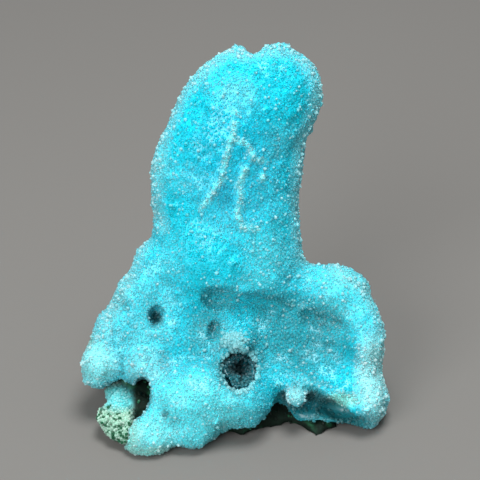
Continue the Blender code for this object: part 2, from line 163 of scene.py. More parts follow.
# Thin lines of painted shade under the ledges
CREASES = {
    "under the bowl's first ledge": ((4.3, -10.1), (7.8, -10.9), (9.0, -12.3)),
    "under the bowl's second ledge": ((10.6, -12.7), (13.1, -13.2), (15.5, -13.8), (18.0, -14.8)),
    "between the left bumps": ((-21.6, -20.4), (-21.2, -24.0)),
}
# Rims where the crystals are paler
RIMS = {
    "top knob": ((5.6, 34.6), (7.4, 35.3), (9.0, 34.8)),
    "right lobe's corner": ((21.6, -6.7), (22.3, -7.4)),
    "lip over the undercut": (
        (5.0, -26.4), (8.4, -25.6), (12.0, -25.4), (16.0, -26.2), (20.0, -28.2), (24.6, -29.6),
    ),
    "edge of the left bumps": ((-28.0, -25.6), (-24.4, -26.6), (-20.6, -26.2), (-16.0, -26.4)),
    "bowl's right edge": ((19.5, -17.5), (21.8, -19.0), (22.3, -21.5), (22.2, -24.5)),
    "bowl's upper edge": ((8.5, -10.9), (10.0, -12.2), (13.0, -11.8), (16.3, -14.0)),
    "tooth": ((8.2, -27.4), (9.2, -29.8), (11.3, -29.8), (12.0, -27.4)),
}
# Outer edges with larger and paler crystals, and a painted light rim on the skin along them
EDGES = {
    "column's left edge": (
        (-7.0, 30.6), (-10.9, 26.1), (-13.6, 19.9), (-15.3, 12.2), (-15.3, 5.4), (-14.3, 2.7),
    ),
    "base's left edge": ((-17.3, -0.4), (-20.7, -8.0), (-24.7, -15.8), (-28.0, -21.8)),
    "column's right edge": (
        (14.6, 26.8), (13.4, 22.3), (11.3, 16.9), (10.6, 8.5), (10.7, 1.4), (11.9, -3.4),
    ),
    "right lobe": ((17.3, -5.2), (23.2, -9.0), (25.8, -14.8), (25.8, -21.1), (26.0, -27.9), (25.2, -32.4)),
    "top": (
        (-7.0, 30.6), (-2.5, 34.2), (1.4, 33.8), (5.0, 34.6), (9.5, 34.4), (13.0, 31.0), (14.6, 26.8),
    ),
}
# The skin's colour changes along these lines: how far it reaches from the line and how much it changes;
# along the outer edges this is a painted light rim, along the creases painted shade
EDGE_REACH = 2.4
EDGE_RIM_LIGHT_SHARE = 0.4
CREASE_REACH = 0.7
CREASE_SHADE_SHARE = 0.8
SEAM_REACH = 0.9
SEAM_SHARE = 0.65
SEAM_UNEVENNESS = 0.5
# A line has its full effect up to this share of its reach
LINE_CORE = 0.2
# Places out where the creases and the seams begin, which keeps them off the back
CREASE_FROM = (-2, 2)
SEAM_FROM = (4, 7)

# Patterns of noise: how long their waves are, and a seed that makes each its own
CLOUDS = (9.0, 5.0)
SEAM_BREAKS = (1.2, 11.0)
MALACHITE_PATCHES = (2.6, 1.0)
OUTCROP_SPECKS = (0.8, 8.0)
DARK_GRAIN_PATCHES = (1.2, 4.0)
RIPPLE_SEED_STEP = 3.0
# How far a seed of 1 shifts a pattern along X, Y and Z
SEED_SHIFT = (1.0, 0.7, -0.4)
# Pale clouds on the blue: limits of their noise and how pale they get
CLOUD_LIMITS = (-0.1, 0.6)
CLOUD_SHARE = 0.35

# The finer skins: the mesh's voxel, rounds of smoothing, how far they lie inside the solid's surface, and
# their ripples, each with its length and height
CHRYSOCOLLA_SKIN = {"voxel": 0.42, "rounds": 5, "inset": 0.45, "ripples": ((1.7, 0.16), (0.9, 0.07))}
ROCK_SKIN = {"voxel": 0.45, "rounds": 1, "inset": 0.12, "ripples": ((4.0, 0.5), (1.5, 0.3), (0.7, 0.12))}
HOLLOW_SKIN = {"voxel": 0.22, "rounds": 1, "inset": 0.05, "ripples": ((0.8, 0.08),)}
SMOOTHING = 0.5
# Corners of the solid that are nearer than this are one corner, in metres
SAME_CORNER = 1e-6

# How crystals are strewn on a skin: half width of the usual one, limits and spread of it, places tried per
# square millimetre, and how close two stand, in their own half widths
POINTS_STREWN = {"radius": 0.19, "radii": (0.12, 0.36), "spread": 0.26, "tried": 40.0, "spacing": 1.35}
STANDING_STREWN = {"radius": 0.19, "radii": (0.12, 0.36), "spread": 0.35, "tried": 0.32, "spacing": 1.6}
GRAINS_STREWN = {"radius": 0.18, "radii": (0.11, 0.3), "spread": 0.3, "tried": 36.0, "spacing": 1.3}
HOLLOW_STREWN = {"radius": 0.2, "radii": (0.12, 0.34), "spread": 0.3, "tried": 22.0, "spacing": 1.4}

# Limits of how far crystals stand out, in their own half widths
FINE_LENGTH = (0.4, 0.9)
LARGE_LENGTH = (0.6, 1.1)
STANDING_LENGTH = (1.2, 2.0)
LINE_LENGTH = (1.2, 2.0)
GRAIN_LENGTH = (1.0, 1.8)
HOLLOW_LENGTH = (1.2, 2.2)
# How much they lean away from the skin's own direction
POINT_LEAN = 0.24
STANDING_LEAN = 0.3
LINE_LEAN = 0.35
GRAIN_LEAN = 0.4
HOLLOW_LEAN = 0.3
# How clear they are at the foot and at the tip, from 0 to 1
POINT_CLEARNESS = (0.72, 0.66)
# How clear the tips painted in as sparkle are
SPARKLE_CLEARNESS = 0.45
STANDING_CLEARNESS = 0.4
LINE_CLEARNESS = (0.5, 0.4)
GRAIN_CLEARNESS = (0.1, 0.3)
HOLLOW_CLEARNESS = 0.7

# A crystal's shape: the heights of its foot and its shoulder as shares of its length, or of the foot alone
# where it is a plain pyramid, and the shoulder's width and the tip's limit off centre in its half widths
PRISM_HEIGHTS = (-0.4, 0.55)
PYRAMID_HEIGHTS = (-0.3,)
SHOULDER_WIDTH = 0.92
TIP_OFF_CENTRE = 0.3
# The shoulder's colour is so far on the way from the foot's to the tip's
SHOULDER_COLOUR = 0.5
# Points on the blue mass over this half width have straight sides under a six-sided pyramid
STRAIGHT_OVER = 0.26
LARGE_SIDES = 6
FINE_SIDES = 4

# The quartz takes this power of the blue below it as its own tint, which is much paler
GLASS_POWER = 0.5
# A tip's white: what all have, what the whitest have more, the power that makes those few, and the share of
# points with a whiter, less clear tip painted in as sparkle, and how white that is
TIP_WHITE = 0.01
TIP_WHITE_MORE = 0.2
WHITE_TIP_POWER = 6
SPARKLE_SHARE = 0.02
SPARKLE_WHITE = 0.35
STANDING_WHITE = (0.1, 0.4)
LINE_FOOT_WHITE = 0.15
LINE_TIP_WHITE = (0.05, 0.3)

# Quartz keeps so far off the rock, and thins out in the undercut
POINTS_OFF_ROCK = 0.35
STANDING_OFF_ROCK = 1.0
THIN_PATCH = ((14.5, -31.0), (8.5, 2.2))
THINNED_SHARE = 0.6
# Standing points are left out in the undercut: the patch, how far inside it, and what counts as deep
BARE_PATCH = ((14.5, -30.5), (9.0, 3.5))
BARE_OVER = 0.3
DEEP_UNDER = 5
# The points are in pieces of their own for column and base, front and back, which part at this height as
# the eye sees it and at this place along Y
COLUMN_OVER = -4
BACK_BEHIND = 6

# Crystals along the lines: how far apart they stand, how far they stray, and the limits of their half widths
SEAM_GROWTH = (0.45, 0.30, (0.12, 0.26))
RIM_GROWTH = (0.34, 0.42, (0.14, 0.32))
EDGE_GROWTH = (0.34, 0.45, (0.18, 0.40))
# The clump over the deep hollow, and the ring round its mouth in shares of its half sizes
CLUMP_PLACE = (-1.0, -18.2)
CLUMP_SIZES = (2.6, 1.8)
CLUMP_SPREAD = 0.45
CLUMP_COUNT = 120
RING_COUNT = 170
RING_REACH = (1.02, 1.16)
CLUMP_RADII = (0.2, 0.5)
# They turn by so much towards the middle of the mouth, which is so far out
CLUMP_TURN = 1.1
MOUTH_OUT = 8.5

# The deep hollow, the round lumps on its floor, the places out where these begin, and their height
HOLLOW_PLACE = (-0.1, -23.5)
HOLLOW_SIZES = (3.2, 3.6)
HOLLOW_LUMPS = (((-1.0, -25.2), (1.3, 1.2)), ((1.2, -25.4), (1.1, 1.1)))
LUMPS_FROM = (7.0, 4.5)
LUMP_HEIGHT = 2.2
# Its crystals carry painted shade, darkest deep inside and lighter towards the mouth, and have tips with
# some white
MOUTH_FROM = (4.0, 8.5)
HOLLOW_TIP_WHITE = 0.12

# The rock: limits of the noise for its malachite patches and for the outcrop's specks
MALACHITE_LIMITS = (0.15, 0.6)
SPECK_LIMITS = (0.22, 0.36)
# The pale outcrop, where it ends across, and the blue druse over its upper end
OUTCROP_PATCH = ((-23.0, -32.0), (5.6, 6.0))
OUTCROP_END = (-18.6, -20.2)
DRUSE_PATCH = ((-21.6, -28.2), (4.4, 2.8))
DRUSE_SHARE = 0.85
# Shares of the places that have a grain, on the outcrop and elsewhere, and the height where grains begin;
# the outcrop's is over 1, so that its soft edge is full of grains too
OUTCROP_GRAINS = 1.4
OTHER_GRAINS = 0.10
GRAINS_OVER = 0.5
# Shares of dark grains, everywhere and more of them in patches, with the limits of the patches' noise
DARK_GRAINS = 0.12
DARK_GRAINS_MORE = 0.5
DARK_GRAIN_LIMITS = (0.2, 0.4)
GRAIN_WHITE = 0.01
GRAIN_WHITE_MORE = 0.3

# What starts the random numbers of each part
BLUE_MASS_SEED = 7
ROCK_SEED = 19
HOLLOW_SEED = 23

# Studio, in metres and watts: each light's place, width and power, and where both point
LIGHTS = {
    "key": ((0.05, -0.04, 0.55), 0.26, 2.8),
    "fill": ((-0.30, -0.50, 0.35), 0.40, 3.3),
}
LIGHTS_AIM = (0, 0, 0.03)
WORLD_STRENGTH = 0.42
FLOOR_HALF_WIDTH = 1.5
FLOOR_HEIGHT = -0.00002
FLOOR_GREY = (0.17, 0.166, 0.157, 1)


def spot(across, up, out):
    """The place seen at across and up, out millimetres nearer the eye than the aim, in metres."""
    nearer = 1 - out / EYE_DISTANCE
    return (EYE_AXES @ np.array((across * nearer, up * nearer, out)) + AIM) * MM


def as_seen(places):
    """Across, up and out of each place in metres, one row for each."""
    local = (places / MM - AIM) @ EYE_AXES
    nearer = 1 - local[:, 2] / EYE_DISTANCE
    local[:, 0] /= nearer
    local[:, 1] /= nearer
    return local


def add_object(name, mesh):
    thing = bpy.data.objects.new(name, mesh)
    bpy.context.scene.collection.objects.link(thing)
    return thing


def settle(thing):
    """Makes what the modifiers do part of the object's own mesh."""
    evaluated = thing.evaluated_get(bpy.context.evaluated_depsgraph_get())
    mesh = bpy.data.meshes.new_from_object(evaluated)
    thing.modifiers.clear()
    thing.data = mesh


def surface_of(thing):
    return BVHTree.FromObject(thing, bpy.context.evaluated_depsgraph_get())


def read_points(mesh, what="co"):
    values = np.empty(len(mesh.vertices) * 3)
    mesh.vertices.foreach_get(what, values)
    return values.reshape(-1, 3)


def write_points(mesh, places):
    mesh.vertices.foreach_set("co", places.ravel())
    mesh.update()


def paint_points(mesh, colours):
    """Stores a colour for each vertex, with how clear it is as a fourth number."""
    tint = mesh.attributes.new("tint", "FLOAT_COLOR", "POINT")
    tint.data.foreach_set("color", colours.ravel())


def mixed(first, second, share):
    """Mixes two colours, or rows of colours, by one share or a share for each row."""
    share = np.atleast_1d(share)[:, None]
    return np.asarray(first) * (1 - share) + np.asarray(second) * share


def with_clearness(colours, clearness):
    """Adds the fourth number to rows of colours."""
    column = np.broadcast_to(np.atleast_1d(clearness)[:, None], (len(colours), 1))
    return np.concatenate((colours, column), axis=1)


def soft_step(values, low, high):
    share = np.clip((values - low) / (high - low), 0, 1)
    return share * share * (3 - 2 * share)


def noise_at(places, width, seed):
    """Smooth noise from -1 to 1 at places in metres, with waves about width millimetres long."""
    shift = Vector([seed * part for part in SEED_SHIFT])
    scale = 1 / (width * MM)
    return np.array([noise.noise(Vector(place) * scale + shift) for place in places])


def in_patch(seen, place, half_sizes):
    """How far inside a patch on the front each place is: 1 in its middle, 0 outside it and on the back."""
    away = np.hypot((seen[:, 0] - place[0]) / half_sizes[0], (seen[:, 1] - place[1]) / half_sizes[1])
    return soft_step(away, *PATCH_FADE) * soft_step(seen[:, 2], *FRONT_FROM)


def with_patches(colours, seen, patches, share=1.0):
    """Lays the patches over the colours, by this share of their own amounts."""
    for place, half_sizes, colour, amount in patches.values():
        colours = mixed(colours, colour, amount * share * in_patch(seen, place, half_sizes))
    return colours


def near_lines(seen, lines, reach):
    """How near each place is to the nearest of the lines: 1 on it, and 0 from reach millimetres away."""
    nearest = np.full(len(seen), np.inf)
    for line in lines.values():
        for start, end in zip(line, line[1:]):
            start, run = np.array(start), np.subtract(end, start)
            share = np.clip((seen[:, :2] - start) @ run / (run @ run), 0, 1)
            away = seen[:, :2] - start - share[:, None] * run
            nearest = np.minimum(nearest, np.hypot(away[:, 0], away[:, 1]))
    return soft_step(nearest, reach, LINE_CORE * reach)


def blue_at(places):
    """The blue mass's colour at each place, with painted shade in its dents, creases and hollows and a
    painted light rim along its outer edges.
    """
    seen = as_seen(places)
    out = seen[:, 2]
    colours = mixed(BLUE, PALE_BLUE, CLOUD_SHARE * soft_step(noise_at(places, *CLOUDS), *CLOUD_LIMITS))
    colours = with_patches(colours, seen, BLUE_PATCHES)
    # Painted shade on the floors of the undercut and of the cavity at the left
    colours = with_patches(colours, seen, UNDERCUT_SHADE_PATCHES, soft_step(out, *UNDERCUT_FROM))
    colours = with_patches(colours, seen, CAVITY_SHADE_PATCHES, soft_step(out, *CAVITY_FROM))
    # Painted light rim: the skin is paler along the outer edges
    colours = mixed(colours, EDGE_RIM_LIGHT, EDGE_RIM_LIGHT_SHARE * near_lines(seen, EDGES, EDGE_REACH))
    # Painted shade along the creases
    creases = soft_step(out, *CREASE_FROM) * near_lines(seen, CREASES, CREASE_REACH)
    colours = mixed(colours, SHADED_BLUE, CREASE_SHADE_SHARE * creases)
    seams = soft_step(out, *SEAM_FROM) * near_lines(seen, SEAMS, SEAM_REACH)
    strength = SEAM_SHARE + SEAM_UNEVENNESS * noise_at(places, *SEAM_BREAKS)
    return mixed(colours, SEAM_BLUE, seams * strength)


def glass_at(places):
    """The tint of the quartz that grows on the blue mass at each place, which carries the blue's painted
    shade and light rim.
    """
    return blue_at(places) ** GLASS_POWER


def outcrop_share(seen):
    """How much of the pale crust each place has: it thins out towards the cavity beside the bulge."""
    return in_patch(seen, *OUTCROP_PATCH) * soft_step(seen[:, 0], *OUTCROP_END)


def druse_share(seen):
    """How much of the blue druse over the outcrop's upper end."""
    return in_patch(seen, *DRUSE_PATCH)


def rock_at(places):
    """The rock's colour: black-green with malachite patches, and a pale specked outcrop with blue druse."""
    seen = as_seen(places)
    malachite = soft_step(noise_at(places, *MALACHITE_PATCHES), *MALACHITE_LIMITS)
    colours = mixed(BLACK_GREEN, MALACHITE, malachite)
    specks = soft_step(noise_at(places, *OUTCROP_SPECKS), *SPECK_LIMITS)
    crust = mixed(GREEN_CREAM, MALACHITE, specks)
    crust = mixed(crust, PALE_BLUE, DRUSE_SHARE * druse_share(seen))
    return mixed(colours, crust, outcrop_share(seen))


def keep_inside(places):
    """Moves any place that would be outside the solid model's box back to its side."""
    return np.clip(places, np.array(CAD_LOW), np.array(CAD_HIGH))


def refined(node, name, voxel, rounds, inset, ripples):
    """A finer copy of a node's skin, moved in by inset and rippled."""
    bm = bmesh.new()
    bm.from_mesh(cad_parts[node].data)
    bmesh.ops.remove_doubles(bm, verts=bm.verts, dist=SAME_CORNER)
    mesh = bpy.data.meshes.new(name)
    bm.to_mesh(mesh)
    bm.free()
    thing = add_object(name, mesh)
    remesh = thing.modifiers.new("finer", "REMESH")
    remesh.mode = "VOXEL"
    remesh.voxel_size = voxel * MM
    smooth = thing.modifiers.new("softer", "SMOOTH")
    smooth.iterations = rounds
    smooth.factor = SMOOTHING
    settle(thing)
    places = read_points(thing.data)
    normals = read_points(thing.data, "normal")
    move = np.full(len(places), -inset)
    for number, (width, height) in enumerate(ripples):
        move += height * noise_at(places, width, RIPPLE_SEED_STEP * number)
    places += normals * move[:, None] * MM
    write_points(thing.data, keep_inside(places))
    thing.data.materials.clear()
    thing.data.shade_smooth()
    return thing


def sprinkle(thing, per_area, chance):
    """Random places on a skin, with the skin's direction at each, even by area."""
    mesh = thing.data
    mesh.calc_loop_triangles()
    corners = np.empty(len(mesh.loop_triangles) * 3, dtype=np.int64)
    mesh.loop_triangles.foreach_get("vertices", corners)
    corners = corners.reshape(-1, 3)
    places = read_points(mesh)
    normals = read_points(mesh, "normal")
    a, b, c = (places[corners[:, k]] for k in range(3))
    areas = np.linalg.norm(np.cross(b - a, c - a), axis=1) / 2 / MM ** 2
    count = int(areas.sum() * per_area)
    chosen = chance.choice(len(areas), size=count, p=areas / areas.sum())
    u, v = chance.random(count), chance.random(count)
    flip = u + v > 1
    u[flip], v[flip] = 1 - u[flip], 1 - v[flip]
    shares = np.stack((1 - u - v, u, v), axis=1)
    at = np.einsum("nk,nkd->nd", shares, places[corners[chosen]])
    facing = np.einsum("nk,nkd->nd", shares, normals[corners[chosen]])
    return at, facing / np.linalg.norm(facing, axis=1)[:, None]


def spaced(places, clearances):
    """Numbers of the places to keep, so that none is within another's clearance; the first ones win."""
    tree = KDTree(len(places))
    for number, place in enumerate(places):
        tree.insert(place, number)
    tree.balance()
    gone = np.zeros(len(places), dtype=bool)
    kept = []
    for number, place in enumerate(places):
        if gone[number]:
            continue
        kept.append(number)
        for found in tree.find_range(place, clearances[number] * MM):
            gone[found[1]] = True
    return np.array(kept)


def pick_points(thing, chance, radius, radii, spread, tried, spacing):
    """Places, directions and half widths of crystals all over a skin, the large ones first."""
    places, normals = sprinkle(thing, tried, chance)
    sizes = np.clip(radius * np.exp(chance.normal(0, spread, len(places))), *radii)
    order = np.argsort(-sizes)
    places, normals, sizes = places[order], normals[order], sizes[order]
    kept = spaced(places, sizes * spacing)
    return places[kept], normals[kept], sizes[kept]


def off_surface(surface, places, distance):
    """Which places are more than distance millimetres from a surface."""
    return np.array([surface.find_nearest(Vector(place))[3] > distance * MM for place in places])


def leaning(normals, amount, chance):
    directions = normals + chance.normal(0, amount, normals.shape)
    return directions / np.linalg.norm(directions, axis=1)[:, None]


def turns(directions, spins):
    """For each direction, a rotation that stands a crystal's length along it, spun about it."""
    nearly_upright = 0.9
    helper = np.where(np.abs(directions[:, 2:3]) < nearly_upright, (0.0, 0.0, 1.0), (1.0, 0.0, 0.0))
    side = np.cross(helper, directions)
    side /= np.linalg.norm(side, axis=1)[:, None]
    front = np.cross(directions, side)
    turned_side = side * np.cos(spins)[:, None] + front * np.sin(spins)[:, None]
    turned_front = np.cross(directions, turned_side)
    return np.stack((turned_side, turned_front, directions), axis=2)


def crystal_faces(sides, straight):
    """The faces of one crystal, by its points: rings from the foot up, then the tip."""
    faces = [tuple(range(sides - 1, -1, -1))]
    top = sides if straight else 0
    tip = top + sides
    for side in range(sides):
        after = (side + 1) % sides
        if straight:
            faces.append((side, after, after + sides, side + sides))
        faces.append((top + side, top + after, tip))
    return faces


def repeated_mesh(name, points, faces, count):
    """One mesh of count pieces, each with the same faces on its own run of the points."""
    sizes = np.array([len(face) for face in faces])
    corners = np.concatenate([np.array(face) for face in faces])
    step = len(points) // count
    all_corners = (corners[None, :] + (np.arange(count) * step)[:, None]).ravel()
    all_sizes = np.tile(sizes, count)
    mesh = bpy.data.meshes.new(name)
    mesh.vertices.add(len(points))
    mesh.vertices.foreach_set("co", points.ravel())
    mesh.loops.add(len(all_corners))
    mesh.loops.foreach_set("vertex_index", all_corners)
    mesh.polygons.add(len(all_sizes))
    starts = np.concatenate(((0,), np.cumsum(all_sizes)[:-1]))
    mesh.polygons.foreach_set("loop_start", starts)
    mesh.polygons.foreach_set("loop_total", all_sizes)
    mesh.update(calc_edges=True)
    mesh.validate()
    mesh.shade_flat()
    return mesh


def crystals(name, roots, directions, radii, lengths, feet, tips, chance, sides=LARGE_SIDES, straight=True):
    """One object of quartz points with so many sides; straight ones have a short prism under the pyramid.

    feet and tips hold a colour for each, and how clear it is there as a fourth number.
    """
    count = len(roots)
    around = np.arange(sides) * 2 * math.pi / sides
    ring = np.stack((np.cos(around), np.sin(around), np.zeros(sides)), axis=1)
    heights = PRISM_HEIGHTS if straight else PYRAMID_HEIGHTS
    step = sides * len(heights) + 1
    local = np.empty((count, step, 3))
    for layer, height in enumerate(heights):
        part = slice(sides * layer, sides * layer + sides)
        width = 1.0 if layer == 0 else SHOULDER_WIDTH
        local[:, part] = ring * (radii * width)[:, None, None]
        local[:, part, 2] = (lengths * height)[:, None]
    off_centre = chance.uniform(-TIP_OFF_CENTRE, TIP_OFF_CENTRE, (count, 2))
    local[:, -1, :2] = off_centre * radii[:, None]
    local[:, -1, 2] = lengths
    rotations = turns(directions, chance.uniform(0, 2 * math.pi, count))
    points = roots[:, None, :] + np.einsum("nij,nkj->nki", rotations, local) * MM
    points = keep_inside(points.reshape(-1, 3))
    mesh = repeated_mesh(name, points, crystal_faces(sides, straight), count)

    rise = np.zeros(step)
    rise[-1] = 1.0
    if straight:
        rise[sides:2 * sides] = SHOULDER_COLOUR
    rise = rise[None, :, None]
    paint_points(mesh, (feet[:, None, :] * (1 - rise) + tips[:, None, :] * rise).reshape(-1, 4))
    return add_object(name, mesh)


def new_material(name):
    """A material and its shader."""
    material = bpy.data.materials.new(name)
    material.use_nodes = True
    return material, material.node_tree.nodes["Principled BSDF"]


def tint_node(tree):
    tint = tree.nodes.new("ShaderNodeAttribute")
    tint.attribute_name = "tint"
    return tint


def noise_node(tree, scale, detail, roughness=0.5):
    texture = tree.nodes.new("ShaderNodeTexNoise")
    texture.inputs["Scale"].default_value = scale
    texture.inputs["Detail"].default_value = detail
    texture.inputs["Roughness"].default_value = roughness
    place = tree.nodes.new("ShaderNodeTexCoord")
    tree.links.new(place.outputs["Object"], texture.inputs["Vector"])
    return texture


def add_bump(tree, shader, texture, strength, distance):
    """Roughens the surface by a texture, by a distance in metres."""
    bump = tree.nodes.new("ShaderNodeBump")
    bump.inputs["Strength"].default_value = strength
    bump.inputs["Distance"].default_value = distance
    tree.links.new(texture.outputs["Fac"], bump.inputs["Height"])
    tree.links.new(bump.outputs["Normal"], shader.inputs["Normal"])


def shade_tint(tree, shader, texture, darkest, lightest):
    """Sets the base colour to the points' own colours, lightened and darkened by a texture."""
    shade = tree.nodes.new("ShaderNodeMapRange")
    shade.inputs["From Min"].default_value = 0.3
    shade.inputs["From Max"].default_value = 0.7
    shade.inputs["To Min"].default_value = darkest
    shade.inputs["To Max"].default_value = lightest
    tree.links.new(texture.outputs["Fac"], shade.inputs["Value"])
    product = tree.nodes.new("ShaderNodeMix")
    product.data_type = "RGBA"
    product.blend_type = "MULTIPLY"
    product.inputs["Factor"].default_value = 1.0
    tree.links.new(tint_node(tree).outputs["Color"], product.inputs["A"])
    tree.links.new(shade.outputs["Result"], product.inputs["B"])
    tree.links.new(product.outputs["Result"], shader.inputs["Base Color"])


def quartz_material():
    material, shader = new_material("quartz_points")
    tree = material.node_tree
    tint = tint_node(tree)
    tree.links.new(tint.outputs["Color"], shader.inputs["Base Color"])
    tree.links.new(tint.outputs["Alpha"], shader.inputs["Transmission Weight"])
    shader.inputs["IOR"].default_value = 1.27
    shader.inputs["Roughness"].default_value = 0.36
    return material


def blue_material():
    material, shader = new_material("chrysocolla_blue")
    tree = material.node_tree
    texture = noise_node(tree, scale=420, detail=4)
    shade_tint(tree, shader, texture, darkest=0.8, lightest=1.1)
    add_bump(tree, shader, texture, strength=0.4, distance=0.0002)
    shader.inputs["Roughness"].default_value = 0.35
    return material


def rock_material():
    material, shader = new_material("malachite_rock")
    tree = material.node_tree
    texture = noise_node(tree, scale=900, detail=5, roughness=0.65)
    shade_tint(tree, shader, texture, darkest=0.45, lightest=1.5)
    add_bump(tree, shader, texture, strength=0.8, distance=0.0003)
    shader.inputs["Roughness"].default_value = 0.75
    shader.inputs["Specular IOR Level"].default_value = 0.2
    return material


def own(piece, material):
    """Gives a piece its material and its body."""
    piece.data.materials.append(material)
    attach(piece, "root")


def dress_rock():
    """The rock's rough skin and its grains, most of them on the outcrop."""
    chance = np.random.default_rng(ROCK_SEED)
    rock = refined("malachite_matrix", "malachite_rock", **ROCK_SKIN)
    own(rock, rock_material())
    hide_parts("malachite_matrix")
    paint_points(rock.data, with_clearness(rock_at(read_points(rock.data)), 0.0))

    places, normals, sizes = pick_points(rock, chance, **GRAINS_STREWN)
    outcrop = outcrop_share(as_seen(places))
    grown = chance.random(len(places)) < np.maximum(outcrop * OUTCROP_GRAINS, OTHER_GRAINS)
    shown = grown & (places[:, 2] > GRAINS_OVER * MM)
    places, normals, sizes, outcrop = places[shown], normals[shown], sizes[shown], outcrop[shown]
    body = rock_at(places)
    patches = soft_step(noise_at(places, *DARK_GRAIN_PATCHES), *DARK_GRAIN_LIMITS)
    dark_share = DARK_GRAINS + DARK_GRAINS_MORE * patches
    dark = chance.random(len(places)) < dark_share * (1 - druse_share(as_seen(places)))
    body[dark] = MALACHITE
    white = GRAIN_WHITE + GRAIN_WHITE_MORE * outcrop * ~dark * chance.random(len(places))
    feet = with_clearness(body, GRAIN_CLEARNESS[0])
    tips = with_clearness(mixed(body, WHITE, white), GRAIN_CLEARNESS[1])
    directions = leaning(normals, GRAIN_LEAN, chance)
    lengths = sizes * chance.uniform(*GRAIN_LENGTH, len(sizes))
    grains = crystals("malachite_grains", places, directions, sizes, lengths, feet, tips, chance)
    own(grains, quartz_material())
    return rock


def dress_blue_mass(rock_surface):
    """The blue skin, and all the quartz on it."""
    chance = np.random.default_rng(BLUE_MASS_SEED)
    skin = refined("chrysocolla", "chrysocolla_skin", **CHRYSOCOLLA_SKIN)
    own(skin, blue_material())
    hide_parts("chrysocolla")
    paint_points(skin.data, with_clearness(blue_at(read_points(skin.data)), 0.0))
    quartz = quartz_material()
    grow_points(skin, quartz, rock_surface, chance)
    grow_lines(skin, quartz, chance)
    grow_standing(skin, quartz, rock_surface, chance)


def grow_points(skin, quartz, rock_surface, chance):
    """The close cover of large and fine points, each a piece of its own on every side of column and base."""
    places, normals, sizes = pick_points(skin, chance, **POINTS_STREWN)
    thinned = THINNED_SHARE * in_patch(as_seen(places), *THIN_PATCH)
    shown = off_surface(rock_surface, places, POINTS_OFF_ROCK) & (chance.random(len(places)) > thinned)
    places, normals, sizes = places[shown], normals[shown], sizes[shown]

    large = sizes > STRAIGHT_OVER
    directions = leaning(normals, POINT_LEAN, chance)
    large_lengths = chance.uniform(*LARGE_LENGTH, len(sizes))
    fine_lengths = chance.uniform(*FINE_LENGTH, len(sizes))
    lengths = sizes * np.where(large, large_lengths, fine_lengths)
    whiteness = chance.random(len(places)) ** WHITE_TIP_POWER
    # A few points get a whiter, less clear tip, which is painted sparkle
    bright = chance.random(len(places)) < SPARKLE_SHARE
    white = np.where(bright, SPARKLE_WHITE, TIP_WHITE + TIP_WHITE_MORE * whiteness)
    glass = glass_at(places)
    feet = with_clearness(glass, POINT_CLEARNESS[0])
    tips = with_clearness(mixed(glass, WHITE, white), np.where(bright, SPARKLE_CLEARNESS, POINT_CLEARNESS[1]))

    back = places[:, 1] > BACK_BEHIND * MM
    high = as_seen(places)[:, 1] > COLUMN_OVER
    parts = {
        "quartz_skin_column_front": high & ~back,
        "quartz_skin_column_back": high & back,
        "quartz_skin_base_front": ~high & ~back,
        "quartz_skin_base_back": ~high & back,
    }
    for name, part in parts.items():
        for kind, sides, mine in (("large", LARGE_SIDES, part & large), ("fine", FINE_SIDES, part & ~large)):
            piece = crystals(name + "_" + kind, places[mine], directions[mine], sizes[mine], lengths[mine],
                             feet[mine], tips[mine], chance, sides, straight=kind == "large")
            own(piece, quartz)


def grow_standing(skin, quartz, rock_surface, chance):
    """Sparse points all over, taller and cloudier than the rest, which roughen the edges."""
    places, normals, sizes = pick_points(skin, chance, **STANDING_STREWN)
    seen = as_seen(places)
    bare = (seen[:, 2] < DEEP_UNDER) & (in_patch(seen, *BARE_PATCH) > BARE_OVER)
    shown = off_surface(rock_surface, places, STANDING_OFF_ROCK) & ~bare
    places, normals, sizes = places[shown], normals[shown], sizes[shown]
    white = chance.uniform(*STANDING_WHITE, len(places))
    tint = with_clearness(mixed(glass_at(places), WHITE, white), STANDING_CLEARNESS)
    lengths = sizes * chance.uniform(*STANDING_LENGTH, len(sizes))
    directions = leaning(normals, STANDING_LEAN, chance)
    piece = crystals("quartz_standing", places, directions, sizes, lengths, tint, tint, chance)
    own(piece, quartz)


def along(points, step):
    """Points at even steps along a line of points."""
    left = 0.0
    for start, end in zip(points, points[1:]):
        start, end = Vector(start), Vector(end)
        length = (end - start).length
        while left <= length:
            yield start.lerp(end, left / length)
            left += step
        left -= length


def strayed(lines, step, spread, chance):
    """Spots along lines, each a little off its line."""
    return [
        np.array(point) + chance.normal(0, spread, 2)
        for line in lines.values() for point in along(line, step)
    ]


def ring_spots(chance):
    """Spots round the deep hollow's mouth."""
    spots = []
    for angle in chance.uniform(0, 2 * math.pi, RING_COUNT):
        reach = chance.uniform(*RING_REACH)
        spots.append((HOLLOW_PLACE[0] + HOLLOW_SIZES[0] * reach * math.cos(angle),
                      HOLLOW_PLACE[1] + HOLLOW_SIZES[1] * reach * math.sin(angle)))
    return spots


def clump_spots(chance):
    """Spots in the clump over the deep hollow."""
    middle = np.array(CLUMP_PLACE)
    return [middle + chance.normal(0, CLUMP_SPREAD, 2) * CLUMP_SIZES for number in range(CLUMP_COUNT)]


def grow_lines(skin, quartz, chance):
    """Pale crystals along the seams, the rims, the outer edges and round the mouth of the deep hollow."""
    surface = surface_of(skin)
    clump = ring_spots(chance) + clump_spots(chance)
    kinds = (("quartz_seams", SEAM_GROWTH, SEAMS), ("quartz_rims", RIM_GROWTH, RIMS),
             ("quartz_edges", EDGE_GROWTH, EDGES))
    for name, (step, spread, radii), lines in kinds:
        grow_pale(name, surface, strayed(lines, step, spread, chance), radii, 0.0, quartz, chance)
    grow_pale("quartz_clump", surface, clump, CLUMP_RADII, CLUMP_TURN, quartz, chance)


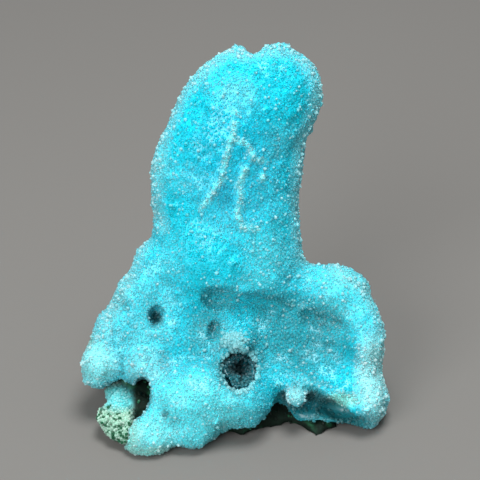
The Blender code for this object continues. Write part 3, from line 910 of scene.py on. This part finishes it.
def seen_points(surface, spots):
    """Where the lines of sight at the spots (across, up) meet the surface, and its directions there."""
    eye = Vector(spot(0, 0, EYE_DISTANCE))
    found = []
    for across, up in spots:
        place, normal = surface.ray_cast(eye, Vector(spot(across, up, 0)) - eye)[:2]
        if place:
            found.append((place, normal))
    return np.array([place for place, normal in found]), np.array([normal for place, normal in found])


def grow_pale(name, surface, spots, radii, turn, quartz, chance):
    """Pale crystals where the spots are seen, turned by so much towards the mouth of the deep hollow."""
    places, normals = seen_points(surface, spots)
    sizes = chance.uniform(*radii, len(places))
    inward = np.array(spot(*HOLLOW_PLACE, MOUTH_OUT)) - places
    inward /= np.linalg.norm(inward, axis=1)[:, None]
    white = chance.uniform(*LINE_TIP_WHITE, len(places))
    glass = glass_at(places)
    feet = with_clearness(mixed(glass, WHITE, LINE_FOOT_WHITE), LINE_CLEARNESS[0])
    tips = with_clearness(mixed(glass, WHITE, white), LINE_CLEARNESS[1])
    directions = leaning(normals + turn * inward, LINE_LEAN, chance)
    lengths = sizes * chance.uniform(*LINE_LENGTH, len(sizes))
    own(crystals(name, places, directions, sizes, lengths, feet, tips, chance), quartz)


def dress_hollow():
    """The lining of the deep hollow, painted dark as its shade, the lumps on its floor and its crystals."""
    chance = np.random.default_rng(HOLLOW_SEED)
    crust = refined("hollow_crust", "hollow_lining", **HOLLOW_SKIN)
    own(crust, blue_material())
    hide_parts("hollow_crust")
    places = read_points(crust.data)
    seen = as_seen(places)
    lumps = np.zeros(len(places))
    for place, half_sizes in HOLLOW_LUMPS:
        lump = in_patch(seen, place, half_sizes) * soft_step(seen[:, 2], *LUMPS_FROM)
        lumps = np.maximum(lumps, lump)
    places += EYE_AXES[:, 2] * (LUMP_HEIGHT * MM * lumps)[:, None]
    write_points(crust.data, places)
    # The lining gets the hollow's painted shade, and the lumps their own blue
    paint_points(crust.data, with_clearness(mixed(SHADOW_BLUE, LUMP_BLUE, lumps), 0.0))

    places, normals, sizes = pick_points(crust, chance, **HOLLOW_STREWN)
    # The crystals get the hollow's painted shade, lighter towards the mouth
    body = mixed(SHADOW_BLUE, MOUTH_BLUE, soft_step(as_seen(places)[:, 2], *MOUTH_FROM))
    feet = with_clearness(body, HOLLOW_CLEARNESS)
    tips = with_clearness(mixed(body, WHITE, HOLLOW_TIP_WHITE), HOLLOW_CLEARNESS)
    directions = leaning(normals, HOLLOW_LEAN, chance)
    lengths = sizes * chance.uniform(*HOLLOW_LENGTH, len(sizes))
    points = crystals("hollow_crystals", places, directions, sizes, lengths, feet, tips, chance)
    own(points, quartz_material())


def place_camera():
    data = bpy.data.cameras.new("camera")
    data.sensor_width = SENSOR_WIDTH
    data.lens = SENSOR_WIDTH * EYE_DISTANCE / VIEW_WIDTH
    data.clip_start = CLIP_START
    data.clip_end = CLIP_END
    camera = add_object("camera", data)
    out = Vector(EYE_AXES[:, 2])
    turn = out.to_track_quat("Z", "Y").to_matrix().to_4x4()
    camera.matrix_world = Matrix.Translation((Vector(AIM) + out * EYE_DISTANCE) * MM) @ turn
    bpy.context.scene.camera = camera


def soft_light(name, place, size, power):
    """A round light that points at the specimen."""
    data = bpy.data.lights.new(name, "AREA")
    data.shape = "DISK"
    data.size = size
    data.energy = power
    light = add_object(name, data)
    place = Vector(place)
    turn = (place - Vector(LIGHTS_AIM)).to_track_quat("Z", "Y").to_matrix().to_4x4()
    light.matrix_world = Matrix.Translation(place) @ turn


def lay_floor():
    bm = bmesh.new()
    bmesh.ops.create_grid(bm, x_segments=1, y_segments=1, size=FLOOR_HALF_WIDTH)
    mesh = bpy.data.meshes.new("floor")
    bm.to_mesh(mesh)
    bm.free()
    floor = add_object("floor", mesh)
    floor.location.z = FLOOR_HEIGHT
    material, shader = new_material("floor")
    shader.inputs["Base Color"].default_value = FLOOR_GREY
    shader.inputs["Roughness"].default_value = 0.9
    mesh.materials.append(material)


def light_studio():
    world = bpy.data.worlds.new("studio")
    world.use_nodes = True
    background = world.node_tree.nodes["Background"]
    background.inputs["Color"].default_value = (1, 1, 1, 1)
    background.inputs["Strength"].default_value = WORLD_STRENGTH
    bpy.context.scene.world = world
    for name, (place, size, power) in LIGHTS.items():
        soft_light(name, place, size, power)


place_camera()
lay_floor()
light_studio()
rock = dress_rock()
dress_blue_mass(surface_of(rock))
dress_hollow()

scene = bpy.context.scene
scene.view_settings.view_transform = "Standard"
scene.cycles.use_denoising = True
